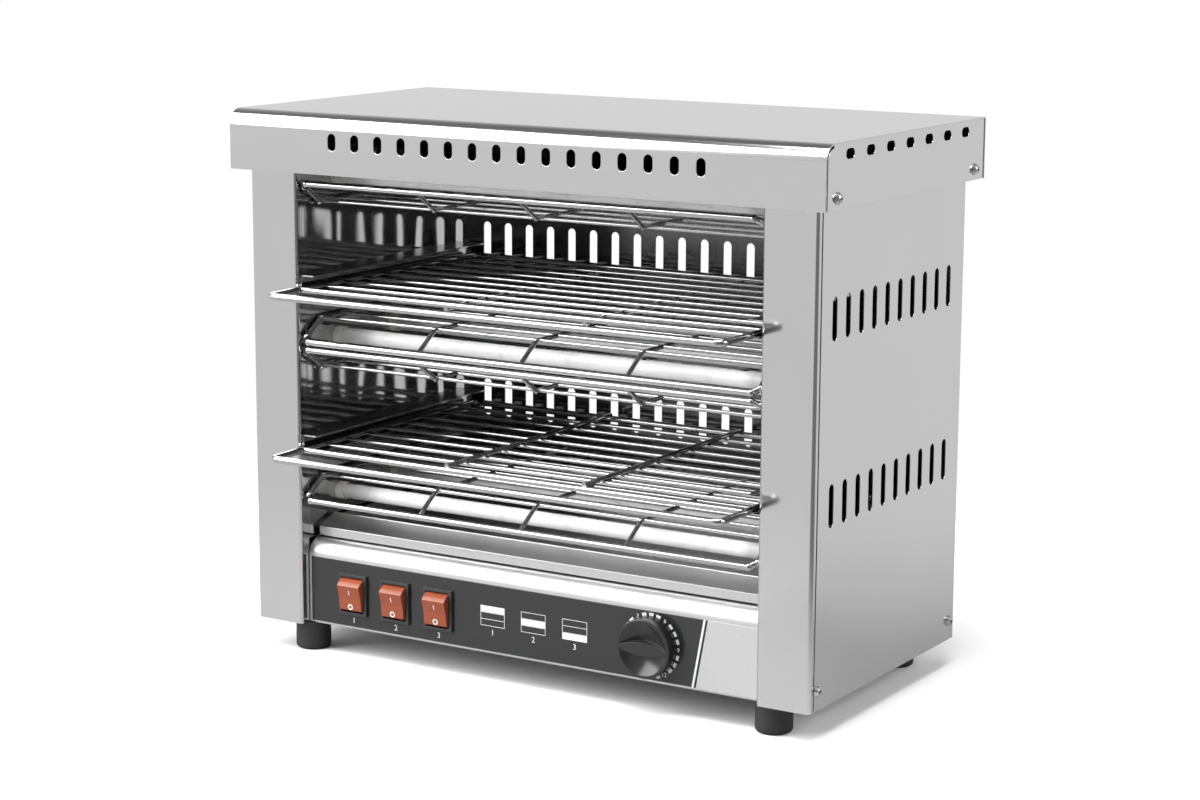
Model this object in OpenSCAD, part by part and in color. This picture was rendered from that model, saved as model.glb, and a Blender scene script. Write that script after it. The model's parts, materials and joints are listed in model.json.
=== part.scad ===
// Two-deck counter toaster: a folded sheet-steel cabinet with two open bays,
// pull-out wire racks, quartz heating tubes behind wire guards, a crumb tray and
// a control strip with three rocker switches and a timer.
// Millimetres. The front is -Y, the right-hand side is +X and +Z is up.

/* [Cabinet] */
// Width across the side covers
body_w = 470; // [440:1:540]
// Depth from the face of the posts to the back panel
body_d = 232; // [222:1:280]
// Thickness of the folded sheet
sheet = 1; // [0.8:0.1:1.3]
// Width of each front post
post_w = 41.5; // [39:0.5:55]
// Depth of the post's fold along the side of the cabinet
post_side_fold = 5; // [3:0.5:8]
// Depth of the post's fold along the bay
post_bay_fold = 10; // [8:0.5:13]
// Height of the control compartment, from the base to the top of the deck
control_h = 65; // [62:0.5:90]
// Height of the lower tubes above the deck
lower_tube_rise = 29.5; // [27:0.5:45]
// Height from the lower tubes to the middle tubes
lower_bay_h = 120; // [110:1:160]
// Height from the middle tubes to the top tubes
upper_bay_h = 120.5; // [110:0.5:160]
// Room from the top tubes to the reflector
tube_headroom = 10; // [8:0.5:20]

/* [Lid] */
// Height of the lid
lid_h = 44; // [36:1:60]
// Overhang of the lid past each side cover
lid_over_side = 10; // [7:0.5:16]
// Overhang of the lid past the posts
lid_over_front = 10.5; // [8:0.5:16]
// Overhang of the lid past the back panel
lid_over_back = 9; // [8:0.5:16]
// Radius of the lid's front top edge
lid_edge_r = 11.5; // [3:0.5:12]
// How far the lid's lower edge hangs below the reflector
lid_lap = 3; // [2:0.5:8]

/* [Vents] */
// Width of the tall vent slots
vent_w = 7; // [4:0.2:8]
// Length of the tall vent slots
vent_l = 30; // [20:1:36]
// Distance between neighbouring vent slots
vent_pitch = 20; // [14:0.5:26]
// Number of slots in a row on a side cover
side_vents = 10; // [4:1:10]
// Number of slots in a row on the back panel
back_vents = 19; // [9:1:19]
// Height of the lower vent row above the lower tubes
lower_vent_rise = 45; // [40:0.5:60]
// Height of the upper vent row above the middle tubes
upper_vent_rise = 52.5; // [40:0.5:60]
// Width of the short slots in the lid
lid_vent_w = 7; // [4:0.2:8]
// Length of the short slots in the lid
lid_vent_l = 12.5; // [9:0.1:14]
// Number of slots across the lid's front
lid_front_vents = 16; // [4:2:18]
// Distance between the slots on the lid's front
lid_front_pitch = 20.3; // [14:0.1:24]
// Number of slots along each side of the lid
lid_side_vents = 7; // [3:1:7]
// Distance between the slots on the lid's sides
lid_side_pitch = 30.4; // [18:0.1:32]

/* [Heating] */
// Outside diameter of a quartz tube
tube_d = 11.4; // [9:0.2:13]
// Wall of a quartz tube
tube_wall = 1.2; // [1:0.1:2]
// Distance from tube to tube, front to back
tube_pitch = 71; // [50:0.5:74]
// Diameter of the ceramic end caps
cap_d = 13.6; // [12.8:0.2:16]
// How far an end cap stands into the bay
cap_reach = 6.2; // [2:0.2:8]
// Diameter of the resistance coil
coil_d = 6; // [4:0.2:7]

/* [Guards] */
// Rod of a guard's rim and ends
guard_rim_d = 4.8; // [4:0.2:6]
// Rod of a guard's hoops
guard_hoop_d = 3.4; // [2.4:0.2:4]
// Wire along a guard
guard_wire_d = 2.8; // [2:0.2:3.6]
// Number of wires along a guard
guard_wires = 8; // [4:1:10]
// Height of a guard from its rim to its flat, above the tubes
guard_rise = 15; // [13:0.5:20]
// Height of a guard from its rim to its flat, below the tubes
guard_drop = 15; // [14:0.5:20]
// How far a guard's sides lean in
guard_lean = 22; // [14:0.5:26]
// Length cut off at the corners of a guard's rim
guard_corner = 5; // [3:0.5:8]
// Distance from hoop to hoop along a guard
guard_hoop_pitch = 87.5; // [60:0.5:90]

/* [Racks] */
// Rod of a rack's frame
rack_rod_d = 5; // [4:0.2:6]
// Cross wires of a rack
rack_wire_d = 3.2; // [2.4:0.2:3.8]
// Stiffener rod of a rack
rack_bar_d = 3.6; // [2.8:0.2:4]
// Number of cross wires behind a rack's front bar
rack_wires = 8; // [4:1:11]
// Distance from the centre to each stiffener
rack_bar_x = 58; // [30:1:120]
// How far the handle rod stands in front of the posts
handle_reach = 41.5; // [34:0.5:60]
// Gap between the handle rod and the front bar
finger_gap = 37.5; // [28:0.5:50]
// Height of a rack above the tubes below it
rack_rise = 41; // [34:0.5:60]
// Inside width of a rack rail
rail_depth = 12; // [9:0.5:15]
// Room in a rail above the rack rod
rail_room = 6; // [3:0.5:10]

/* [Crumb tray] */
// Height of the tray's walls
tray_wall_h = 12; // [8:0.5:14]
// Height of the tray's front lip
tray_lip_h = 14.7; // [13:0.1:20]
// Depth of the sloping face of the tray's front
tray_face_d = 18; // [12:0.5:22]
// Drop of the sloping face
tray_face_drop = 7.4; // [4:0.2:9]
// Height of the upright strip at the tray's front
tray_strip_h = 6.6; // [3:0.2:6.8]

/* [Controls] */
// How far the control strip lies behind the posts
fascia_recess = 9; // [4:0.5:11]
// Radius of the control strip's rounded top
fascia_r = 12.5; // [5:0.5:13]
// Height of the printed overlay
overlay_h = 49.5; // [44:0.5:52]
// Thickness of the printed overlay
overlay_t = 0.6; // [0.3:0.1:1]
// Height of the switch centres above the base
switch_rise = 27; // [25:0.5:30]
// Distance of the first switch from the left-hand end of the control strip
switch_inset = 42; // [33.5:0.5:48.5]
// Distance from switch to switch
switch_pitch = 38.5; // [32:0.5:45]
// Width of the panel opening for a switch
switch_cut_w = 22; // [20:0.1:24]
// Height of the panel opening for a switch
switch_cut_h = 28.5; // [26:0.1:31]
// Travel of a rocker from off to on
rocker_throw = 22; // [14:1:26]
// Distance of the timer from the right-hand end of the control strip
timer_inset = 88; // [73.5:0.5:103.5]
// Height of the timer above the base
timer_rise = 27; // [26:0.5:30]
// Diameter of the timer knob
knob_d = 43; // [36:0.5:46]
// Height of the timer knob's rim in front of the overlay
knob_h = 11.5; // [10:0.5:18]
// Diameter of the timer shaft
shaft_d = 6; // [5:0.5:7]

/* [Feet and fittings] */
// Height of the feet
foot_h = 22; // [16:0.5:40]
// Diameter of the feet
foot_d = 26.5; // [20:0.5:30]
// Distance of the feet's centres from the side covers
foot_inset_x = 37; // [29:0.5:55]
// Distance of the feet's centres from the front and the back
foot_inset_y = 19.5; // [18:0.5:31]
// Diameter of the case screws
screw_d = 4; // [3:0.5:4.5]
// Diameter of the cable gland's thread
gland_d = 20; // [16:0.5:25]
// Bore of the cable gland
gland_bore = 10; // [7:0.5:12]
// How far the gland stands out behind the back panel
gland_reach = 18; // [14:0.5:30]
// Height of the gland above the base
gland_rise = 32; // [24:0.5:40]
// Distance of the gland from the right-hand side cover
gland_inset = 85; // [55:1:175]

/* [Hidden] */
$fn = 48;

// Clearances: sheets side by side, moving pieces, a pin in its bore, a screw in its hole
fit_gap = 0.2;
run_gap = 0.3;
pin_gap = 0.05;
screw_gap = 0.15;
// Overlap that makes two shapes one solid, and the overrun of a cut
weld = 0.5;
over = 1;
// Ball at a bend and the end of a rod inside it, as shares of the rod's diameter
ball_size = 1.2;
ball_trim = 0.3;

// Colours
steel = [0.77, 0.77, 0.77];
bright_wire = [0.85, 0.85, 0.86];
quartz = [0.93, 0.93, 0.91];
ceramic = [0.88, 0.86, 0.80];
brass = [0.78, 0.62, 0.30];
black_plastic = [0.10, 0.10, 0.10];
overlay_grey = [0.26, 0.27, 0.28];
switch_red = [0.86, 0.29, 0.13];
rubber = [0.13, 0.13, 0.13];

// Main planes of the cabinet
half_w = body_w / 2;
front_y = -body_d / 2;
back_y = body_d / 2;
base_z = foot_h;
deck_z = base_z + control_h;
lower_z = deck_z + lower_tube_rise;
middle_z = lower_z + lower_bay_h;
top_z = middle_z + upper_bay_h;
roof_z = top_z + tube_headroom;
lid_z = roof_z - lid_lap;
lid_top = lid_z + lid_h;
lid_x = half_w + lid_over_side;
lid_front = front_y - lid_over_front;
lid_back = back_y + lid_over_back;
lid_seam = 0.5;
lid_corner_gap = 2.4;

// The posts
post_bend_r = 2.5;
post_lap = 13;
post_top = lid_z + post_lap;

// The bays
bay_x = half_w - post_w;
bay_front = front_y + post_bay_fold;
bay_back = back_y - sheet;
bay_mid = (bay_front + bay_back) / 2;
inner_back = bay_back - fit_gap;
wall_fold = 11.5;
wall_x = bay_x + sheet + wall_fold;

// The side covers
cover_seam = 1.6;
cover_front = front_y + post_side_fold + cover_seam;
cover_fold = 14;
cover_lap = 15;
cover_inner = half_w - sheet;
rear_fold_y = back_y - 2 * sheet;
lower_vent_z = lower_z + lower_vent_rise;
upper_vent_z = middle_z + upper_vent_rise;

// Tubes and their caps
tube_ys = [bay_mid - tube_pitch, bay_mid, bay_mid + tube_pitch];
tier_zs = [lower_z, middle_z, top_z];
cap_seat = 5;
cap_flange_w = 1;
cap_flange_d = cap_d + 2 * cap_flange_w;
cap_flange_t = 3;
cap_tail = 8;
cap_end = bay_x + sheet + cap_flange_t + cap_tail;
tube_end = bay_x + cap_seat;
lead_d = 3;
lead_out = 7;
coil_inset = 38;
retainer_edge = 0.6;
retainer_h = cap_flange_d + 2 * retainer_edge;
retainer_leg = 8;

// Guards
guard_setback = 2.5;
guard_margin = 4.5;
guard_top_sink = 2.1;
guard_rim_lift = 1.2;
guard_rim_ys = [front_y + guard_setback, bay_back - guard_margin];
guard_flat_ys = [guard_rim_ys[0] + guard_lean, guard_rim_ys[1] - guard_lean];
guard_ball_d = ball_size * guard_rim_d;
guard_x = bay_x - fit_gap - guard_ball_d / 2;
guard_pin_d = 4;
guard_pin_y = 51;
guard_wire_inset = 3.5;
guard_nut_d = 9;
guard_nut_t = 1.6;

// Racks and rails
rack_front = front_y - handle_reach;
rack_bar_y = rack_front + finger_gap;
rack_back_room = 9;
rack_side_room = 6.5;
rack_rear = bay_back - rack_back_room;
rack_x = bay_x - rack_side_room;
rack_corner_r = 5;
rack_zs = [lower_z + rack_rise, middle_z + rack_rise];
rail_end_room = 4;
rail_front = front_y + rail_end_room;
rail_rear = bay_back - rail_end_room;

// The control strip
fascia_y = front_y + fascia_recess;
fascia_bottom = base_z + sheet;
fascia_top = deck_z;
fascia_depth = 22.5;
fascia_end_gap = 0.5;
fascia_back = fascia_y + fascia_depth;
fascia_half = bay_x - fascia_end_gap;
overlay_face = fascia_y - overlay_t;
overlay_border = 1.2;
overlay_end_border = 2.5;
overlay_z = fascia_bottom + overlay_border;
overlay_half = fascia_half - overlay_end_border;
switch_z = base_z + switch_rise;
switch_x = switch_inset - bay_x;
switch_xs = [switch_x, switch_x + switch_pitch, switch_x + 2 * switch_pitch];
bezel_side = 1.75;
bezel_end = 1.25;
bezel_half_w = switch_cut_w / 2 + bezel_side;
bezel_half_h = switch_cut_h / 2 + bezel_end;
bezel_t = 2.2;
bezel_face = overlay_face - bezel_t;
switch_wall = 0.7;
switch_depth = 25;
pivot_depth = 5;
pivot_y = bezel_face + pivot_depth;
rocker_r = switch_cut_h / 2 - fit_gap - switch_wall - run_gap;
rocker_half = switch_cut_w / 2 - fit_gap - switch_wall - run_gap;
rocker_pin_d = 3;
timer_x = bay_x - timer_inset;
timer_z = base_z + timer_rise;
bushing_d = 10;
timer_size = 42;
knob_crown = 3;
shaft_out = knob_h - knob_crown;
timer_depth = 34;

// The crumb tray
tray_z = deck_z + run_gap;
tray_side_gap = 3;
tray_back_room = 11;
tray_setback = 28;
tray_half = bay_x - tray_side_gap;
tray_rear = bay_back - tray_back_room;
tray_front = fascia_y + tray_setback;
tray_lip_z = tray_z + tray_lip_h;

// Base, feet and fittings
pan_wall = 25;
pan_x = cover_inner - fit_gap;
pan_front = front_y + post_bend_r + fit_gap;
pan_rear = rear_fold_y - fit_gap;
foot_x = half_w - foot_inset_x;
foot_y = body_d / 2 - foot_inset_y;
foot_screw_d = 5;
foot_screw_up = 8;
foot_nut_d = 9.2;
foot_nut_t = 4;
foot_nut_room = 2;
foot_bore_d = 11;
foot_seat = 12;
bracket_setback = 20;
bracket_x = foot_x - bracket_setback;
gland_x = half_w - gland_inset;
gland_z = base_z + gland_rise;
gland_nut_t = 5;
screw_head_d = 8.5;
screw_head_t = 3;
screw_l = 9;
lid_screw_rise = 7.6;
lid_screw_inset = 7.5;
lid_screw_z = lid_z + lid_screw_rise;
lid_screw_y = body_d / 2 - lid_screw_inset;
side_screw_rise = 14.5;
side_screw_inset = 4.5;
side_screw_z = base_z + side_screw_rise;
side_screw_y = body_d / 2 - post_side_fold - side_screw_inset;
back_screw_rise = 20;
back_screw_drop = 14;
back_screw_x = cover_inner - cover_fold / 2;
back_screw_zs = [base_z + back_screw_rise, (base_z + lid_z) / 2, lid_z - back_screw_drop];

// Place of the cabinet's middle, so that the box of the whole toaster is centred
front_reach = -rack_front + rack_rod_d / 2;
back_reach = back_y + gland_reach;
body_y = (front_reach - back_reach) / 2;

// Helpers

function unit(v) = v / norm(v);

// Box between two corners
module slab(a, b) {
    translate(a) cube(b - a);
}

// Mirror image to the left-hand side
module to_left() {
    mirror([1, 0, 0]) children();
}

// Both sides of the cabinet
module both_sides() {
    children();
    to_left() children();
}

// Outline in Y and Z, drawn out along X
module along_x(x0, x1) {
    translate([x0, 0, 0]) rotate([90, 0, 90]) linear_extrude(x1 - x0) children();
}

// Local +Z turned to the front
module to_front(p) {
    translate(p) rotate([90, 0, 0]) children();
}

// Local +Z turned to the back
module to_back(p) {
    translate(p) rotate([-90, 0, 0]) children();
}

// Local +Z turned to the right
module to_right(p) {
    translate(p) rotate([0, 90, 0]) children();
}

// Slot outline with round ends, its length along the first axis
module slot(l, w) {
    square([l - w, w], center = true);
    for (s = [-1, 1])
        translate([s * (l - w) / 2, 0]) circle(d = w);
}

// Straight rod between two points
module rod(a, b, d) {
    run = b - a;
    lean = acos(run[2] / norm(run));
    turn = atan2(run[1], run[0]);
    translate(a) rotate([0, lean, turn]) cylinder(d = d, h = norm(run));
}

// Distance that a bend takes from each of its two straight runs
function bend_trim(a, p, b, r) = r * tan(acos(unit(p - a) * unit(b - p)) / 2);

// Bend of a rod at p, on the way from a to b
module rod_bend(a, p, b, r, d) {
    u = unit(p - a);
    v = unit(b - p);
    turn = acos(u * v);
    inward = unit(v - u * (u * v));
    centre = p - u * bend_trim(a, p, b, r) + inward * r;
    across = cross(-inward, u);
    multmatrix([
        [-inward[0], u[0], across[0], centre[0]],
        [-inward[1], u[1], across[1], centre[1]],
        [-inward[2], u[2], across[2], centre[2]],
        [0, 0, 0, 1]
    ])
        rotate_extrude(angle = turn) translate([r, 0]) circle(d = d);
}

// Closed loop of rod with round bends, through a list of points
module rod_loop(points, r, d) {
    n = len(points);
    for (i = [0 : n - 1]) {
        before = points[(i + n - 1) % n];
        a = points[i];
        b = points[(i + 1) % n];
        after = points[(i + 2) % n];
        dir = unit(b - a);
        rod(a + dir * bend_trim(before, a, b, r), b - dir * bend_trim(a, b, after, r), d);
        rod_bend(before, a, b, r, d);
    }
}

// Ball at a bend p of a rod, on the way from a to b.
// Its seam is outside the bend and its poles are out of the bend's plane
module bend_ball(a, p, b, d) {
    u = unit(a - p);
    v = unit(b - p);
    outward = -unit(u + v);
    pole = unit(cross(u, v));
    side = cross(pole, outward);
    multmatrix([
        [outward[0], side[0], pole[0], p[0]],
        [outward[1], side[1], pole[1], p[1]],
        [outward[2], side[2], pole[2], p[2]],
        [0, 0, 0, 1]
    ])
        sphere(d = d);
}

// Rod through a list of points, as an open run or a closed loop, with a ball at each bend
module jointed_rod(points, d, closed = false) {
    n = len(points);
    last = closed ? n - 1 : n - 2;
    first_ball = closed ? 0 : 1;
    for (i = [0 : last]) {
        a = points[i];
        b = points[(i + 1) % n];
        dir = unit(b - a);
        start = i >= first_ball ? ball_trim * d : 0;
        end = closed || i < last ? ball_trim * d : 0;
        rod(a + dir * start, b - dir * end, d);
    }
    for (i = [first_ball : last])
        bend_ball(points[(i + n - 1) % n], points[i], points[(i + 1) % n], ball_size * d);
}

// The two ends of the cut across a corner at p, on the way from a to b
function cut_corner(a, p, b, c) = [p + unit(a - p) * c, p + unit(b - p) * c];

// Cabinet

module base_pan() {
    color(steel)
        difference() {
            union() {
                slab([-pan_x, pan_front, base_z], [pan_x, pan_rear, base_z + sheet]);
                both_sides()
                    slab(
                        [pan_x - sheet, cover_front, base_z],
                        [pan_x, pan_rear - sheet, base_z + pan_wall]
                    );
            }
            slab(
                [-bay_x - sheet - fit_gap, pan_front - over, base_z - over],
                [bay_x + sheet + fit_gap, bay_front + fit_gap, base_z + sheet + over]
            );
            for (x = [-foot_x, foot_x], y = [-foot_y, foot_y])
                translate([x, y, base_z - over])
                    cylinder(d = foot_screw_d + 2 * screw_gap, h = sheet + 2 * over);
            for (y = [-side_screw_y, side_screw_y])
                to_right([-pan_x - over, y, side_screw_z])
                    cylinder(d = screw_d + 2 * screw_gap, h = 2 * pan_x + 2 * over);
        }
}

// Plan of the right-hand post with its two bends, drawn in by the given inset
module post_outline(inset, rear) {
    r = post_bend_r - inset;
    x0 = bay_x + inset;
    x1 = half_w - inset;
    y0 = front_y + inset;
    translate([x0, y0 + r]) square([x1 - x0, rear - y0 - r]);
    translate([x0 + r, y0]) square([x1 - x0 - 2 * r, rear - y0]);
    for (x = [x0 + r, x1 - r])
        translate([x, y0 + r]) circle(r);
}

// Right-hand front post: face, fold along the side, fold along the bay and a tab on the base
module post() {
    tab_room = 0.5;
    color(steel) {
        difference() {
            translate([0, 0, base_z])
                linear_extrude(post_top - base_z)
                    difference() {
                        post_outline(0, bay_front);
                        post_outline(sheet, bay_front + over);
                    }
            slab(
                [half_w - 2 * sheet, front_y + post_side_fold, base_z - over],
                [half_w + over, bay_front + over, post_top + over]
            );
            slab(
                [bay_x - over, front_y + sheet, roof_z - sheet - fit_gap],
                [bay_x + post_bend_r, bay_front + over, post_top + over]
            );
        }
        slab(
            [bay_x + post_bend_r + tab_room, front_y + sheet / 2, base_z + sheet],
            [half_w - post_bend_r - tab_room, bay_front, base_z + 2 * sheet]
        );
    }
}

module left_post() {
    to_left() post();
}

module right_post() {
    post();
}

// Row of tall vent slots through a side cover
module side_vent_row(z) {
    for (i = [0 : side_vents - 1])
        to_right([cover_inner - over, (i - (side_vents - 1) / 2) * vent_pitch, z])
            linear_extrude(sheet + 2 * over) slot(vent_l, vent_w);
}

// Right-hand side cover, folded in at both ends and stepped out under the lid
module side_cover() {
    lap_x = lid_x - lid_seam - sheet - fit_gap;
    fold_start = 5;
    color(steel)
        difference() {
            union() {
                slab([cover_inner, cover_front, base_z], [half_w, rear_fold_y + sheet, roof_z]);
                slab(
                    [half_w - cover_fold, cover_front, base_z + pan_wall + fold_start],
                    [half_w, cover_front + sheet, roof_z]
                );
                slab(
                    [half_w - cover_fold, rear_fold_y, base_z],
                    [half_w, rear_fold_y + sheet, roof_z]
                );
                slab(
                    [cover_inner, cover_front, roof_z - sheet],
                    [lap_x, rear_fold_y + sheet, roof_z]
                );
                slab(
                    [lap_x - sheet, cover_front, roof_z - sheet],
                    [lap_x, rear_fold_y + sheet, roof_z + cover_lap]
                );
            }
            side_vent_row(lower_vent_z);
            side_vent_row(upper_vent_z);
            for (y = [-side_screw_y, side_screw_y])
                to_right([cover_inner - over, y, side_screw_z])
                    cylinder(d = screw_d + 2 * screw_gap, h = sheet + 2 * over);
            for (y = [-lid_screw_y, lid_screw_y])
                to_right([lap_x - 2 * sheet, y, lid_screw_z])
                    cylinder(d = screw_d + 2 * screw_gap, h = 3 * sheet);
            for (z = back_screw_zs)
                to_back([back_screw_x, rear_fold_y - over, z])
                    cylinder(d = screw_d + 2 * screw_gap, h = sheet + 2 * over);
        }
}

module left_side_cover() {
    to_left() side_cover();
}

module right_side_cover() {
    side_cover();
}

// Right-hand wall of the bays, with holes for the tube caps and the guard pins
// and notches in its upper fold over the caps
module liner() {
    color(steel)
        difference() {
            union() {
                slab(
                    [bay_x, bay_front + fit_gap, deck_z],
                    [bay_x + sheet, inner_back, roof_z]
                );
                slab(
                    [bay_x, bay_front + fit_gap, deck_z],
                    [wall_x, rear_fold_y - fit_gap, deck_z + sheet]
                );
                slab(
                    [bay_x, bay_front + fit_gap, roof_z - sheet],
                    [wall_x, rear_fold_y - fit_gap, roof_z]
                );
            }
            for (y = tube_ys, z = tier_zs)
                to_right([bay_x - over, y, z])
                    cylinder(d = cap_d + 2 * fit_gap, h = sheet + 2 * over);
            for (y = tube_ys)
                slab(
                    [bay_x + sheet, y - cap_flange_d / 2 - fit_gap, roof_z - sheet - over],
                    [bay_x + sheet + cap_flange_t + fit_gap, y + cap_flange_d / 2 + fit_gap, roof_z + over]
                );
            for (s = [-1, 1], z = guard_flats)
                to_right([bay_x - over, bay_mid + s * guard_pin_y, z])
                    cylinder(d = guard_pin_d + 2 * screw_gap, h = sheet + 2 * over);
        }
}

module left_liner() {
    to_left() liner();
}

module right_liner() {
    liner();
}

// Row of tall vent slots through the back panel
module back_vent_row(z) {
    for (i = [0 : back_vents - 1])
        to_back([(i - (back_vents - 1) / 2) * vent_pitch, bay_back - over, z])
            rotate(90) linear_extrude(sheet + 2 * over) slot(vent_l, vent_w);
}

module back_panel() {
    color(steel)
        difference() {
            slab([-pan_x, bay_back, base_z + sheet], [pan_x, back_y, roof_z + cover_lap]);
            back_vent_row(lower_vent_z);
            back_vent_row(upper_vent_z);
            for (x = [-back_screw_x, back_screw_x], z = back_screw_zs)
                to_back([x, bay_back - over, z])
                    cylinder(d = screw_d + 2 * screw_gap, h = sheet + 2 * over);
            to_back([gland_x, bay_back - over, gland_z])
                cylinder(d = gland_d + 2 * fit_gap, h = sheet + 2 * over);
        }
}

// Roof of the upper bay
module top_reflector() {
    color(steel)
        slab(
            [-wall_x, front_y + 2 * sheet + fit_gap, roof_z],
            [wall_x, rear_fold_y - fit_gap, roof_z + sheet]
        );
}

// Cross member that ties the tops of the posts, hidden by the lid
module front_lintel() {
    lintel_h = 10;
    lintel_x = half_w - post_bend_r - fit_gap;
    color(steel) {
        slab(
            [-lintel_x, front_y + sheet, roof_z - sheet],
            [lintel_x, front_y + 2 * sheet, roof_z + lintel_h]
        );
        slab(
            [-bay_x, front_y + sheet, roof_z - sheet],
            [bay_x, bay_front, roof_z]
        );
    }
}

// Side view of the lid, drawn in by one inset at the front and another at the top and the back
module lid_outline(front_inset, inset, bottom) {
    r = lid_edge_r - front_inset;
    bend_y = lid_front + lid_edge_r;
    bend_z = lid_top - lid_edge_r;
    translate([bend_y, bottom]) square([lid_back - inset - bend_y, lid_top - inset - bottom]);
    translate([bend_y - r, bottom]) square([lid_back - inset - bend_y + r, bend_z - bottom]);
    translate([bend_y, bend_z]) circle(r);
}

module top_cover() {
    hem = 7;
    front_vent_rise = 24;
    side_vent_drop = 8.4;
    front_vent_z = lid_z + front_vent_rise;
    side_vent_z = lid_top - side_vent_drop;
    color(steel)
        difference() {
            union() {
                along_x(-lid_x, lid_x)
                    difference() {
                        lid_outline(0, 0, lid_z);
                        lid_outline(sheet, sheet, lid_z - over);
                    }
                both_sides()
                    along_x(lid_x - sheet - lid_seam, lid_x - lid_seam)
                        lid_outline(sheet + lid_corner_gap, sheet / 2, lid_z);
                slab(
                    [-lid_x + sheet, lid_front + sheet / 2, lid_z],
                    [lid_x - sheet, lid_front + hem, lid_z + sheet]
                );
                slab(
                    [-lid_x + sheet, lid_back - hem, lid_z],
                    [lid_x - sheet, lid_back - sheet / 2, lid_z + sheet]
                );
            }
            for (i = [0 : lid_front_vents - 1])
                to_back([
                    (i - (lid_front_vents - 1) / 2) * lid_front_pitch, lid_front - over, front_vent_z
                ])
                    rotate(90) linear_extrude(sheet + 2 * over) slot(lid_vent_l, lid_vent_w);
            both_sides()
                for (i = [0 : lid_side_vents - 1])
                    to_right([
                        lid_x - 2 * over - sheet, (i - (lid_side_vents - 1) / 2) * lid_side_pitch, side_vent_z
                    ])
                        rotate(90) linear_extrude(sheet + 4 * over) slot(lid_vent_l, lid_vent_w);
            for (y = [-lid_screw_y, lid_screw_y])
                to_right([-lid_x - over, y, lid_screw_z])
                    cylinder(d = screw_d + 2 * screw_gap, h = 2 * lid_x + 2 * over);
        }
}

// Floor of the lower bay and roof of the control compartment
module deck_plate() {
    wire_hole_d = 9;
    wire_hole_room = 1.5;
    wire_hole_x = wall_x + wire_hole_room + wire_hole_d / 2;
    wire_hole_y = 50;
    color(steel)
        difference() {
            slab(
                [-pan_x, fascia_back + fit_gap, deck_z - sheet],
                [pan_x, pan_rear, deck_z]
            );
            for (x = [-wire_hole_x, wire_hole_x], y = [-wire_hole_y, wire_hole_y])
                translate([x, y, deck_z - sheet - over]) cylinder(d = wire_hole_d, h = sheet + 2 * over);
        }
}

// Standing brackets that carry the deck on the base
module deck_brackets() {
    flange = 12;
    front_room = 6;
    rear_room = 16;
    y0 = fascia_back + front_room;
    y1 = pan_rear - rear_room;
    color(steel)
        both_sides() {
            slab([bracket_x, y0, base_z + sheet], [bracket_x + sheet, y1, deck_z - sheet]);
            slab([bracket_x - flange, y0, base_z + sheet], [bracket_x, y1, base_z + 2 * sheet]);
            slab([bracket_x - flange, y0, deck_z - 2 * sheet], [bracket_x, y1, deck_z - sheet]);
        }
}

// Heating

// One quartz tube, open at both ends
module quartz_tube(y, z) {
    color(quartz)
        to_right([-tube_end, y, z])
            difference() {
                cylinder(d = tube_d, h = 2 * tube_end);
                translate([0, 0, -over]) cylinder(d = tube_d - 2 * tube_wall, h = 2 * (tube_end + over));
            }
}

// Coils of one tier, each with its two leads
module tier_coils(z) {
    color(bright_wire)
        for (y = tube_ys) {
            to_right([-tube_end + coil_inset, y, z]) cylinder(d = coil_d, h = 2 * (tube_end - coil_inset));
            to_right([-cap_end - lead_out, y, z]) cylinder(d = lead_d, h = 2 * (cap_end + lead_out));
        }
}

// Ceramic end caps of one tier
module tier_caps(z) {
    inner = bay_x - cap_reach;
    color(ceramic)
        both_sides()
            for (y = tube_ys)
                to_right([inner, y, z])
                    difference() {
                        union() {
                            cylinder(d = cap_d, h = cap_end - inner);
                            translate([0, 0, cap_reach + sheet]) cylinder(d = cap_flange_d, h = cap_flange_t);
                        }
                        translate([0, 0, -over])
                            cylinder(d = tube_d + 2 * fit_gap, h = tube_end - inner + fit_gap + over);
                        cylinder(d = lead_d + 2 * fit_gap, h = cap_end - inner + over);
                    }
}

// Strips that hold the caps against the outside of the bay walls
module cap_retainers() {
    x0 = bay_x + sheet;
    x1 = x0 + cap_flange_t + fit_gap;
    y0 = tube_ys[0] - cap_flange_d / 2 - retainer_leg;
    y1 = tube_ys[2] + cap_flange_d / 2 + retainer_leg;
    color(steel)
        both_sides()
            for (z = tier_zs)
                difference() {
                    retainer_top = min(z + retainer_h / 2, roof_z - sheet - fit_gap);
                    slab([x0, y0, z - retainer_h / 2], [x1 + sheet, y1, retainer_top]);
                    slab(
                        [x0 - over, y0 + sheet, z - retainer_h],
                        [x1, y1 - sheet, z + retainer_h]
                    );
                    for (y = tube_ys)
                        to_right([x0, y, z]) cylinder(d = cap_d + 2 * fit_gap, h = cap_flange_t + 4 * sheet);
                }
}

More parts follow.
